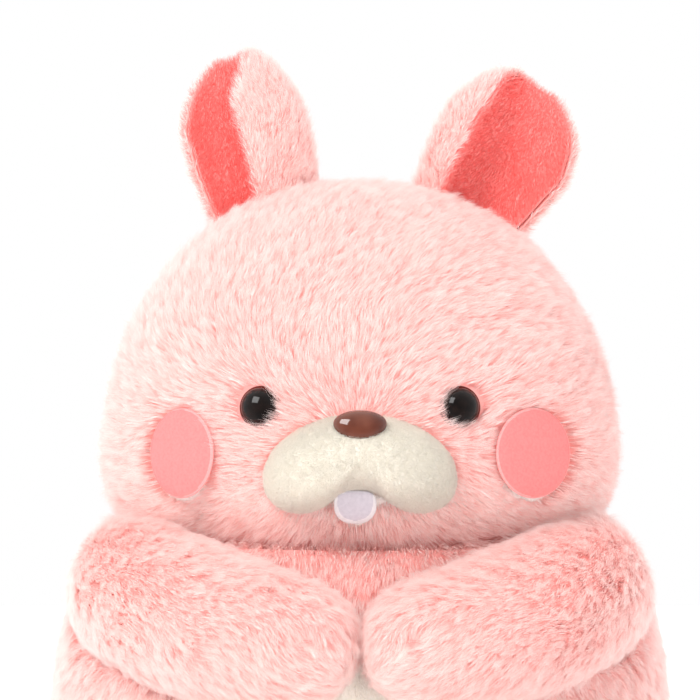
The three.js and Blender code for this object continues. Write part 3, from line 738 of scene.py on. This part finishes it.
def build_muzzle():
    """The padded cream muzzle: crowned lobes that pull in at the rim and under the nose."""
    outline = muzzle_outline()
    hub = np.array([0.0, 3.0])
    rows, turns = 22, len(outline)
    points = []
    for row in range(rows + 1):
        share = math.sin(row / rows * math.pi / 2)
        flat = hub + (outline - hub) * share
        x, z = flat[:, 0], flat[:, 1] + MUZZLE["z"]
        crown = (1 - share ** 2.5) ** 0.55
        groove = 0.05 * np.exp(-(x / 6.5) ** 2) * np.clip(-(flat[:, 1] - 4) / 12, 0, 1)
        lobes = 1 + 0.06 * np.exp(-((np.abs(x) - 20) / 12) ** 2)
        high = (MUZZLE["depth"] + 1.5) * crown * (1 - groove) * lobes
        y = front_y(HEAD, x, z) + 1.5 - high
        points.append(np.stack([x, y, z], 1))
    back = [np.stack([p[:, 0] * 0.985, front_y(HEAD, p[:, 0], p[:, 2]) + 3.4, p[:, 2]], 1)
            for p in points[1:][::-1]]
    layers = points + back
    faces = ring_faces(len(layers), turns)
    faces.append([(len(layers) - 1) * turns + i for i in range(turns)])
    cover = object_of("muzzle_pad", np.concatenate(layers), faces, CREAM_CLOTH)
    dress(cover, "head", CREAM[2], "muzzle_cover", fill=0.8)

    def comb(p, normal):
        return (p - np.array([0, -104, 203])) * (1, 0.2, 1) + np.array([0, 0, -6])

    def shown(p, normal):
        return (normal[:, 1] < 0.3) & (np.hypot(p[:, 0] / 9.5, (p[:, 2] - 211.5) / 5) > 1)

    grow_pile("muzzle_pile", cover, "head", CREAM, "muzzle_cover", comb, 1.5, shown,
              **{**SHORT, "fine": 16.0, "coarse": 0.9, "width": 0.25, "radius": 0.06})


def build_nose():
    """A glossy oval dome, tilted up, with a rolled edge."""
    low, _ = box_of("nose")
    centre = np.array([0, low[1] + 4.2, 209.9])
    tilt = 0.42
    out = np.array([0, -math.cos(tilt), math.sin(tilt)])
    up = np.array([0, math.sin(tilt), math.cos(tilt)])
    right = np.array([1.0, 0, 0])

    def shape(u, v):
        angle, lat = u * 2 * math.pi, (v - 0.5) * math.pi
        ring = np.abs(np.cos(lat)) ** 0.8
        flare = 1 + 0.1 * np.sin(angle)
        height = np.where(lat > 0, 4.6, 2.2) * np.sin(lat)
        return (centre + right * (11.2 * ring * np.cos(angle) * flare)[:, None]
                + up * (6.6 * ring * np.sin(angle))[:, None] + out * height[:, None])

    nose = grid("nose_button", shape, 64, 32, NOSE_BROWN)
    dress(nose, "head", "nose_brown", "nose")


def build_tooth():
    """A small felt tooth with rounded edges, hanging below the notch."""
    turns, rows = 64, 16
    w = TOOTH["half_width"]
    angle = circle(turns)
    bend = np.where(np.sin(angle) > 0, 0.65, 0.88)
    tall = np.where(np.sin(angle) > 0, TOOTH["above"], TOOTH["below"])
    outline = np.stack([w * signed_power(np.cos(angle), bend), tall * signed_power(np.sin(angle), bend)], 1)
    layers = []
    for row in range(rows * 2 + 1):
        lat = (row / rows - 1) * math.pi / 2
        share = abs(math.cos(lat)) ** 0.3
        flat = outline * share
        x, z = TOOTH["x"] + flat[:, 0], TOOTH["z"] + flat[:, 1]
        y = front_y(HEAD, x, z) - 3.4 - TOOTH["thick"] / 2 * math.sin(lat)
        layers.append(np.stack([x, y, z], 1))
    tooth = object_of("felt_tooth", np.concatenate(layers), ring_faces(len(layers), turns),
                      TOOTH_FELT, TOOTH_RIM)
    for face in tooth.data.polygons:
        flat = np.array([face.center.x / MM - TOOTH["x"], face.center.z / MM - TOOTH["z"]])
        low = flat[1] < 0
        reach = np.hypot(flat[0] / w, flat[1] / TOOTH["below"]) if low else abs(flat[0]) / w
        face.material_index = int(reach > 0.82)
    dress(tooth, "head", "white_felt", "tooth")


def build_cheek(label):
    """A felt oval that follows the head, with a thin soft edge."""
    cheek = CHEEKS[label]
    out, right, up = face_frame(cheek["x"], cheek["z"])
    turns, rows = 72, 12
    angle = circle(turns)
    centre = face_point(cheek["x"], cheek["z"])
    layers = []
    for row in range(rows * 2 + 1):
        lat = (row / rows - 1) * math.pi / 2
        share = abs(math.cos(lat)) ** 0.35
        flat = (right * (np.cos(angle) * cheek["half"][0])[:, None]
                + up * (np.sin(angle) * cheek["half"][1])[:, None]) * share
        spot = centre + flat
        for _ in range(3):
            spot[:, 1] = front_y(HEAD, spot[:, 0], spot[:, 2], 2.2)
        layers.append(spot + out * math.sin(lat))
    felt = object_of(f"cheek_{label}_felt", np.concatenate(layers), ring_faces(len(layers), turns),
                     CHEEK_FELT, CHEEK_RIM)
    for face in felt.data.polygons:
        flat = np.array(face.center) / MM - centre
        reach = math.hypot(float(flat @ right) / cheek["half"][0], float(flat @ up) / cheek["half"][1])
        face.material_index = int(reach > 0.965)
    dress(felt, "head", "coral_felt", f"cheek_{label}")


# ---- ears

def ear_surface(ear, s, t, out):
    """Points of an ear: share s up its spine, t across the leaf from -1 to 1, out from its middle layer."""
    foot, spine = np.array(ear["root"], float), np.array(ear["tip"], float) - ear["root"]
    up = unit(spine)
    opening = np.array([0.0, -1, 0])
    opening = unit(opening - opening @ up * up)
    across = np.cross(opening, up)
    rounding = np.clip((s - EAR_ROUND_FROM) / (1 - EAR_ROUND_FROM), 0, 1)
    full = np.sqrt(np.maximum(1 - rounding ** 2, 0))
    steps = np.linspace(0, 1, 4)
    half = lambda sizes: EAR_TIP_RADIUS + (np.interp(s, steps, sizes) - EAR_TIP_RADIUS) * full
    start, end = np.radians(ear["wrap"])
    angle = start + (end - start) * (t + 1) / 2
    deep, wide = half(ear["depth"]), half(ear["breadth"])
    return (foot + up * (s * np.linalg.norm(spine))[:, None]
            + opening * (deep - (deep + out) * np.cos(angle))[:, None]
            + across * ((wide + out) * np.sin(angle))[:, None])


def ear_leaf(name, ear, low, high, ripple, reach, *materials):
    """A closed leaf of cloth between two distances from the ear's middle layer."""
    along, over = 56, 72
    edge = 0.9
    s, t = np.meshgrid(np.linspace(0, 1, along + 1), np.linspace(-1, 1, over + 1), indexing="ij")
    s, t = s.ravel(), t.ravel()
    soften = lambda d: np.sqrt(np.clip(1 - np.clip(1 - d, 0, 1) ** 2, 0.04, 1))
    rim = soften((1 - np.abs(t)) / 0.05) * soften((1 - s) / 0.03)
    middle, thick = (low + high) / 2, (high - low) / 2
    wave = ripple * wander(ear_surface(ear, s, t, 0 * s), 21, 2)
    narrow = reach * (1 - 0.4 * np.clip((s - 0.72) / 0.28, 0, 1) ** 2)
    half = thick * rim * edge
    points = np.concatenate([ear_surface(ear, s * 0.98, t * narrow, middle + sign * half + wave)
                             for sign in (-1, 1)])
    layer = (along + 1) * (over + 1)
    at = lambda side, i, j: side * layer + i * (over + 1) + j
    faces = []
    for i in range(along):
        for j in range(over):
            for side in (0, 1):
                row, following = (at(side, k, j) for k in (i, i + 1))
                faces.append((row, row + 1, following + 1, following))
        for j in (0, over):
            faces.append((at(0, i, j), at(0, i + 1, j), at(1, i + 1, j), at(1, i, j)))
    for j in range(over):
        for i in (0, along):
            faces.append((at(0, i, j), at(1, i, j), at(1, i, j + 1), at(0, i, j + 1)))
    return object_of(name, points, faces, *materials)


def build_ear(label):
    ear = EARS[label]
    body = f"ear_{label}"
    foot = np.array(ear["root"], float)
    whole = np.array(ear["tip"], float) - foot
    spine = unit(whole)

    def turned_out(p, normal, least):
        """True where a normal points away from the ear's middle line, by more than a least cosine."""
        share = ((p - foot) @ spine) / np.linalg.norm(whole)
        deep = np.interp(share, np.linspace(0, 1, 4), ear["depth"])
        centre = foot + spine * ((p - foot) @ spine)[:, None] + np.array([0, -1, 0]) * deep[:, None]
        out = p - centre
        return (out * normal).sum(1) > least * np.linalg.norm(out, axis=1)

    outer = ear_leaf(f"{body}_cloth", ear, 0.3, 2.0, 0.5, 0.96, PINK_CLOTH)
    lining = ear_leaf(f"{body}_lining_cloth", ear, -1.6, -0.1, 0.5, 0.985, CORAL_CLOTH)
    for leaf in (outer, lining):
        cut(leaf, egg_grid("head_cut", HEAD, -SINK + 1.5))
    dress(outer, body, PINK[2], f"{body}_outer_panel")
    dress(lining, body, CORAL[2], f"{body}_lining")

    outside = lambda p, normal: turned_out(p, normal, -0.4) & ~in_egg(HEAD, p)
    inside = lambda p, normal: ~turned_out(p, normal, 0.5) & ~in_egg(HEAD, p)
    grow_pile(f"{body}_pile", outer, body, PINK, f"{body}_outer_panel", one_way(spine), 6.4, outside,
              fine=5.0, coarse=1.2, lift=0.85, width=0.36, gather=0.15)
    grow_pile(f"{body}_lining_pile", lining, body, CORAL, f"{body}_lining", one_way(spine), 3.0, inside,
              **{**SHORT, "fine": 6.0})


# ---- body, limbs and tail

def hidden_by_limbs(p, margin):
    """True where points are inside an arm, a leg, the tail or the head."""
    from_tail = np.linalg.norm(p - np.array(TAIL["centre"]), axis=1)
    inside = in_egg(HEAD, p, -2) | (from_tail < TAIL["radius"] - 3)
    for side in SIDES.values():
        inside |= in_limb(ARM, side, p, margin) | in_limb(LEG, side, p, margin)
    return inside


def torso_seams(p):
    """How far points are from the seams down the sides and the back, and round the base."""
    side = np.abs(p[:, 1] - 4)
    back = np.where(p[:, 1] > 0, np.abs(p[:, 0]), 99)
    base = np.abs(p[:, 2] - 14)
    return np.minimum(np.minimum(side, back), base)


def in_belly(p, shrink=0.0):
    oval = np.hypot(p[:, 0] / (BELLY["half_width"] - shrink),
                    (p[:, 2] - BELLY["z"]) / (BELLY["half_height"] - shrink))
    return (p[:, 1] < 0) & (oval < 1)


def build_torso():
    skin = egg_grid("torso_skin", TORSO, -SINK - 1.6, PINK_CLOTH, turns=120)
    cutters = [egg_grid("bowl", HEAD, RUN - 1.0)]
    for side in SIDES.values():
        shoulder = np.array(ARM["path"][0]) * (side, 1, 1)
        cutters.append(grid("socket", ball(shoulder, SHOULDER_SOCKET - 1), 40, 24))
        cutters.append(grid("hip", limb(LEG, side, 0.8), 40, 40))
    cutters.append(grid("tail_root", ball(TAIL["centre"], TAIL["radius"] + 0.6), 40, 24))
    floor = object_of("under", *slab(-200, 3.0))
    cut(skin, *cutters, floor)
    remesh(skin, 3.2, 3)
    held = lambda p: (p[:, 2] < 7) | in_egg(HEAD, p, RUN + 3) | hidden_by_limbs(p, 6)
    stuff(skin, torso_seams, 2.0, held)
    dress(skin, "torso", PINK[2], "torso_left_panel", "torso_right_panel", "base_panel", fill=0.9)

    def comb(p, normal):
        return np.array([0, 0, -1.0]) + 0.35 * unit(p * (1, 1, 0))

    def furred(p, normal):
        hidden = in_egg(HEAD, p + normal * 4, 0.5) | hidden_by_limbs(p + normal * 2, -4)
        return ~hidden & ~in_belly(p, 1.5) & (p[:, 2] > 3.4)

    def length(p):
        return 9.0 * np.clip(p[:, 2] / 18, 0.35, 1)

    parts = {
        "torso_left_pile": ("torso_left_panel", lambda p: p[:, 0] >= 0),
        "torso_right_pile": ("torso_right_panel", lambda p: p[:, 0] < 0),
    }
    grow_pile("torso_pile", skin, "torso", PINK, parts, comb, length, furred)
    build_base()


def slab(low, high, half=300):
    """Points and faces of a block between two heights."""
    square = ((-half, -half), (half, -half), (half, half), (-half, half))
    corners = [(x, y, z) for z in (low, high) for x, y in square]
    faces = [(0, 3, 2, 1), (4, 5, 6, 7)] + [(i, (i + 1) % 4, (i + 1) % 4 + 4, i + 4) for i in range(4)]
    return corners, faces


def build_base():
    """The oval cloth base the toy sits on."""
    low, high = box_of("base_panel")
    half = (high - low)[:2] / 2
    middle = (high + low)[:2] / 2

    def shape(u, v):
        angle, lat = u * 2 * math.pi, (v - 0.5) * math.pi
        ring = np.abs(np.cos(lat)) ** 0.25
        return np.stack([middle[0] + half[0] * 0.93 * ring * signed_power(np.cos(angle), 0.9),
                         middle[1] + half[1] * 0.93 * ring * signed_power(np.sin(angle), 0.9),
                         1.5 + 1.4 * np.sin(lat)], -1)

    base = grid("base_cloth", shape, 120, 24, PAINTED_LIGHT_CREAM_CLOTH)
    dress(base, "torso", PINK[2], "base_panel")


def build_belly():
    """The short-piled oval on the belly."""
    turns, rows = 96, 14
    angle = circle(turns)
    layers = []
    for row in range(rows * 2 + 1):
        across = row / rows - 1
        share = math.cos(across * math.pi / 2) ** 0.4 if abs(across) < 1 else 0.0
        x = BELLY["half_width"] * share * np.cos(angle)
        z = BELLY["z"] + BELLY["half_height"] * share * np.sin(angle)
        grow = -3.3 + 1.2 * math.sin(across * math.pi / 2)
        layers.append(np.stack([x, front_y(TORSO, x, z, grow), z], 1))
    patch = object_of("belly_cloth", np.concatenate(layers), ring_faces(len(layers), turns), PAINTED_LIGHT_CREAM_CLOTH)
    dress(patch, "torso", PAINTED_LIGHT_CREAM[2], "belly_panel")
    shown = lambda p, normal: (normal[:, 1] < -0.2) & ~hidden_by_limbs(p + normal * 2, -1)
    grow_pile("belly_pile", patch, "torso", PAINTED_LIGHT_CREAM, "belly_panel", one_way((0, 0, -1.0)), 3.2, shown,
              **{**SHORT, "fine": 3.0, "coarse": 0.9})


def flow_along(size, side, p):
    """The direction of the nearest stretch of a limb's middle line."""
    middle, _, forward = along_limb(size, side, np.linspace(0, 1, 12))
    nearest = ((p[:, None] - middle[None]) ** 2).sum(2).argmin(1)
    return forward[nearest]


def upper_and_lower(body, nodes, seam):
    """The pieces of a limb's pile, above and below its seam."""
    return {f"{body}_upper_pile": (nodes[0], lambda p: p[:, 2] >= seam),
            f"{body}_lower_pile": (nodes[1], lambda p: p[:, 2] < seam)}


def build_arm(label, side):
    body = f"arm_{label}"
    skin = grid(f"{body}_skin", limb(ARM, side, -2.6), 72, 72, PINK_CLOTH)
    mirrored = lambda point: np.array(point) * (side, 1, 1)
    shoulder = mirrored(ARM["path"][0])
    torso = egg_grid("chest", TORSO, -1.5)
    cut(torso, grid("socket", ball(shoulder, SHOULDER_SOCKET - 4), 40, 24))
    cut(skin, torso, egg_grid("chin", HEAD, RUN - 1.5))
    remesh(skin, 2.8, 3)
    seam = np.mean([ARM["path"][0][2], ARM["path"][2][2]])
    held = lambda p: in_egg(TORSO, p, 1) | in_egg(HEAD, p, RUN + 2)
    stuff(skin, lambda p: np.abs(p[:, 2] - seam), 1.8, held)
    points = points_of(skin)
    pull = 5.0 * np.exp(-(((points - mirrored(PAW_STITCH)) * (1, 0.5, 1)) ** 2).sum(1) / 6.0 ** 2)
    inward = unit(mirrored(PAW_MIDDLE) - points)
    move_points(skin, points + inward * pull[:, None])
    nodes = (f"{body}_upper_panel", f"{body}_lower_panel")
    dress(skin, body, PINK[2], *nodes, fill=0.9)

    def comb(p, normal):
        return unit(mirrored(PAW_TIP) - p) + np.array([0, 0, -0.25])

    def furred(p, normal):
        return ~in_egg(HEAD, p + normal * 4, 0) & ~in_egg(TORSO, p + normal * 3, -7)

    grow_pile(f"{body}_pile", skin, body, PINK, upper_and_lower(body, nodes, seam), comb, 9.0, furred,
              gather=0.14, lift=0.58, fine=4.6)


def build_stitch(label, side):
    """A short loop of thread that pulls the paw's pile in."""
    low, high = box_of(f"paw_stitch_{label}")
    middle, half = (low + high) / 2, (high - low) / 2

    def shape(u, v):
        angle, along = u * 2 * math.pi, v * 2 - 1
        ring = 0.55 * np.sqrt(np.maximum(1 - along ** 6, 0))
        bow = 1.2 * along ** 2
        return middle + np.stack([along * half[0] * 0.85, 2.6 + bow + ring * np.cos(angle),
                                  ring * np.sin(angle) - 0.5 * bow], -1)

    thread = grid(f"paw_stitch_{label}_thread", shape, 16, 24, THREAD)
    dress(thread, f"arm_{label}", "thread", f"paw_stitch_{label}")


def build_leg(label, side):
    body = f"leg_{label}"
    skin = grid(f"{body}_skin", limb(LEG, side, -SINK - 1.0), 72, 72, PINK_CLOTH)
    cut(skin, object_of("under", *slab(-200, 4.0)))
    remesh(skin, 2.8, 3)
    foot = LEG["path"][2]
    middle = foot[2]
    sole_y = foot[1] - LEG["radii"][2] * 0.62
    seams = lambda p: np.minimum(np.where(p[:, 1] > sole_y, np.abs(p[:, 2] - middle), 99),
                                 np.abs(p[:, 1] - sole_y))
    stuff(skin, seams, 1.4, lambda p: p[:, 2] < 7)
    nodes = (f"{body}_upper_panel", f"{body}_lower_panel", f"{body}_sole")
    dress(skin, body, PINK[2], *nodes[:2], fill=0.9)
    centre = np.array([foot[0] * side, 0, middle])

    def comb(p, normal):
        return flow_along(LEG, side, p) + np.array([0, 0, -0.3])

    def furred(p, normal):
        return ~in_egg(TORSO, p + normal * 2, -3) & (p[:, 1] > sole_y - 0.5) & (p[:, 2] > 5.0)

    length = lambda p: 8.6 * np.clip(p[:, 2] / 15, 0.35, 1)
    grow_pile(f"{body}_pile", skin, body, PINK, upper_and_lower(body, nodes, middle), comb, length, furred)
    outward = lambda p, normal: (p - centre) * (1, 0, 1)
    on_sole = lambda p, normal: (p[:, 1] < sole_y + 0.5) & (p[:, 2] > 4.5)
    grow_pile(f"{body}_sole_pile", skin, body, PAINTED_LIGHT_CREAM, nodes[2], outward, 3.0, on_sole,
              **{**SHORT, "fine": 4.0})


def build_tail():
    skin = grid("tail_skin", ball(TAIL["centre"], TAIL["radius"] - SINK - 2), 64, 40, PAINTED_LIGHT_CREAM_CLOTH)
    remesh(skin, 2.8, 1)
    stuff(skin, lambda p: np.abs(p[:, 0]), 1.6)
    dress(skin, "tail", PAINTED_LIGHT_CREAM[2], "tail_cover", fill=0.9)
    away = lambda p, normal: unit(p - np.array([0, 70, 44])) + np.array([0, 0, -0.5])
    shown = lambda p, normal: ~in_egg(TORSO, p + normal * 2, -3)
    grow_pile("tail_pile", skin, "tail", PAINTED_LIGHT_CREAM, "tail_cover", away, 10, shown, lift=0.95)


def finish_hidden_parts():
    """Materials of the pieces that stay as the frame has them."""
    looks = {"stuffing": FILLING, "padding": FILLING, "washer": WASHER, "stitch": THREAD}
    for name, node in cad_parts.items():
        for word, look in looks.items():
            if word in name:
                node.data.materials.clear()
                node.data.materials.append(look)


build_head()
for label, side in SIDES.items():
    build_eye(label, side)
    build_cheek(label)
    build_ear(label)
    build_arm(label, side)
    build_stitch(label, side)
    build_leg(label, side)
build_muzzle()
build_nose()
build_tooth()
build_torso()
build_belly()
build_tail()
finish_hidden_parts()


# ---- stage, light and camera

FRONT_LIGHT, BACK_LIGHT = 0.22, 1.65  # the world's strength before and behind the toy


def area_light(name, place, target, size, watts, glossy=True):
    data = bpy.data.lights.new(name, "AREA")
    data.size = size
    data.energy = watts
    lamp = added(name, data)
    lamp.location = place
    lamp.visible_glossy = glossy
    lamp.rotation_euler = (Vector(target) - Vector(place)).to_track_quat("-Z", "Y").to_euler()


def build_studio():
    white = principled("floor_white", (0.9, 0.9, 0.9, 1), 0.9, Emission_Color=(1, 1, 1, 1),
                       Emission_Strength=0.5)
    corners = [(-6000, -6000, 0), (6000, -6000, 0), (6000, 6000, 0), (-6000, 6000, 0)]
    floor = object_of("floor", corners, [(0, 1, 2, 3)], white)
    floor.visible_glossy = False
    world = bpy.data.worlds.new("studio")
    world.use_nodes = True
    tree = world.node_tree
    tree.nodes["Background"].inputs[0].default_value = (1, 1, 1, 1)
    new, link = tree.nodes.new, tree.links.new
    ray, place = new("ShaderNodeLightPath"), new("ShaderNodeTexCoord")
    split, depth = new("ShaderNodeSeparateXYZ"), new("ShaderNodeMapRange")
    depth.inputs["From Min"].default_value = -1
    depth.inputs["To Min"].default_value = FRONT_LIGHT
    depth.inputs["To Max"].default_value = BACK_LIGHT
    seen = new("ShaderNodeMix")
    seen.inputs[3].default_value = 1.0
    link(place.outputs["Generated"], split.inputs[0])
    link(split.outputs["Y"], depth.inputs[0])
    link(ray.outputs["Is Camera Ray"], seen.inputs[0])
    link(depth.outputs[0], seen.inputs[2])
    link(seen.outputs[0], tree.nodes["Background"].inputs[1])
    scene.world = world
    scene.view_settings.view_transform = "Standard"
    area_light("key", (-0.9, -1.1, 1.3), (0, 0, 0.2), 0.9, 19)
    area_light("fill", (0.5, -2.0, 0.1), (0, 0, 0.2), 1.2, 19, glossy=False)
    data = bpy.data.cameras.new("camera")
    data.lens = 601.2
    data.clip_end = 20
    camera = added("camera", data)
    camera.location = (-0.0042, -5.0, 0.2415)
    camera.rotation_euler = (math.pi / 2, 0, 0)
    scene.camera = camera


build_studio()
